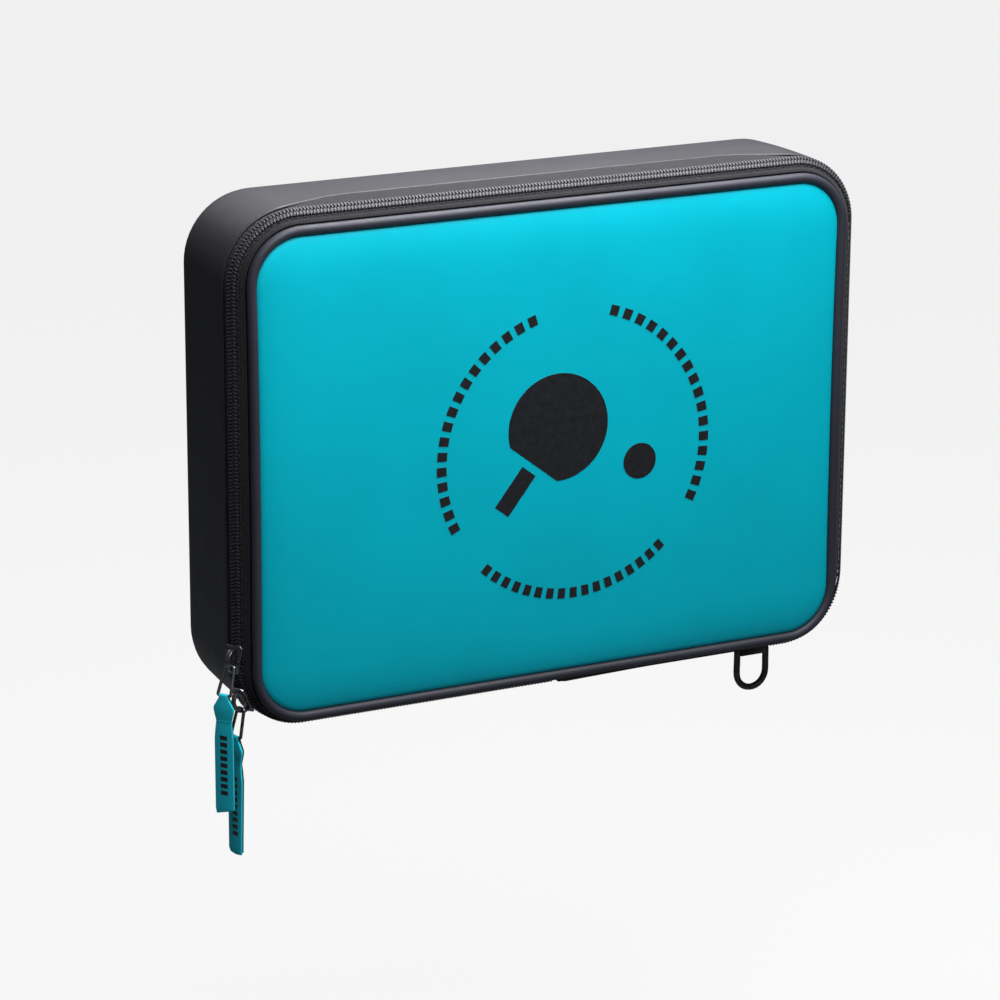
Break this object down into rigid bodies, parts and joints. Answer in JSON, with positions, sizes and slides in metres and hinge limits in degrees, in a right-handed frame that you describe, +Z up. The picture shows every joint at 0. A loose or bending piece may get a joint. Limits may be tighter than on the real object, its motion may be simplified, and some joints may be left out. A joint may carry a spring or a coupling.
{
  "type": "table tennis racket case",
  "caption": "Zipped hard case with a padded coloured front lid, moulded black rear shell, slider pulls with ribbons and a hanging ring.",
  "frame": {"origin": "centre of the flat back face, on which the case lies", "axes": "+X to the right seen from the front, +Y out of the back face, +Z up the case as it stands closed on its hinge edge"},
  "size_m": [0.31, 0.0716, 0.2792],
  "materials": {
    "black_pu": "fine-grained coated fabric, satin",
    "eva_foam": "moulded foam",
    "lining_fabric": "brushed knit",
    "zip_tape": "woven herringbone",
    "zip_coil": "monofilament",
    "webbing": "woven webbing",
    "turquoise_pu": "smooth coated fabric, matte",
    "print_film": "thin printed film",
    "board": "sheet",
    "net": "knitted net",
    "gunmetal": "plated, semi-gloss",
    "turquoise_ribbon": "woven ribbon"
  },
  "bodies": {
    "rear_case": {"rear_shell_skin": "black_pu", "rear_shell_foam": "eva_foam", "rear_lining": "lining_fabric", "rear_seam_binding": "webbing", "rear_zip_tape": "zip_tape", "rear_zip_coil": "zip_coil", "zip_stops": "gunmetal", "hinge_strip_rear": "webbing", "d_ring_tab": "webbing", "handle_strap": "webbing", "strap_patches": "black_pu", "divider_hinge_tape": "webbing"},
    "lid": {"front_panel_skin": "turquoise_pu", "front_panel_foam": "eva_foam", "lid_stiffener": "board", "lid_lining": "lining_fabric", "front_piping": "black_pu", "lid_seam_binding": "webbing", "lid_zip_tape": "zip_tape", "lid_zip_coil": "zip_coil", "hinge_strip_lid": "webbing", "mesh_pocket": "net", "pocket_binding": "webbing", "front_print": "print_film"},
    "divider": {"divider_board": "board", "divider_foam_front": "lining_fabric", "divider_foam_rear": "lining_fabric", "divider_binding": "webbing"},
    "slider_1": {"slider_1_body": "gunmetal"},
    "pull_link_1": {"slider_1_pull_link": "gunmetal"},
    "ribbon_1": {"slider_1_ribbon": "turquoise_ribbon"},
    "slider_2": {"slider_2_body": "gunmetal"},
    "pull_link_2": {"slider_2_pull_link": "gunmetal"},
    "ribbon_2": {"slider_2_ribbon": "turquoise_ribbon"},
    "ring": {"d_ring": "gunmetal"}
  },
  "joints": [
    {"name": "lid_hinge", "type": "hinge", "parent": "rear_case", "child": "lid", "pos_m": [0, -0.061, -0.1108], "axis": [1, 0, 0], "range_deg": [0, 150]},
    {"name": "divider_fold", "type": "hinge", "parent": "rear_case", "child": "divider", "pos_m": [0, -0.0365, -0.0968], "axis": [1, 0, 0], "range_deg": [0, 75]},
    {"name": "slider_1_travel", "type": "slide", "parent": "rear_case", "child": "slider_1", "axis": [0, 0, 1], "range_m": [0, 0.125]},
    {"name": "pull_link_1_swing", "type": "hinge", "parent": "slider_1", "child": "pull_link_1", "pos_m": [-0.15218, -0.0643, -0.079], "axis": [-0.589, 0.8081, 0], "range_deg": [0, 105]},
    {"name": "ribbon_1_swing", "type": "hinge", "parent": "pull_link_1", "child": "ribbon_1", "pos_m": [-0.15639, -0.06736, -0.09069], "axis": [-0.589, 0.8081, 0], "range_deg": [0, 60]},
    {"name": "slider_2_travel", "type": "hinge", "parent": "rear_case", "child": "slider_2", "pos_m": [-0.1184, -0.061, -0.07955], "axis": [0, 1, 0], "range_deg": [-40, 0]},
    {"name": "pull_link_2_swing", "type": "hinge", "parent": "slider_2", "child": "pull_link_2", "pos_m": [-0.14697, -0.06287, -0.09905], "axis": [-0.2899, 0.957, 0], "range_deg": [-25, 4]},
    {"name": "ribbon_2_swing", "type": "hinge", "parent": "pull_link_2", "child": "ribbon_2", "pos_m": [-0.14993, -0.06376, -0.11147], "axis": [-0.2899, 0.957, 0], "range_deg": [-15, 4]},
    {"name": "d_ring_swing", "type": "hinge", "parent": "rear_case", "child": "ring", "pos_m": [0.111, -0.048, -0.1159], "axis": [1, 0, 0], "range_deg": [-10, 95]}
  ],
  "couplings": [
    {"joint": "divider_fold", "follows": "lid_hinge", "ratio": 0.5}
  ]
}
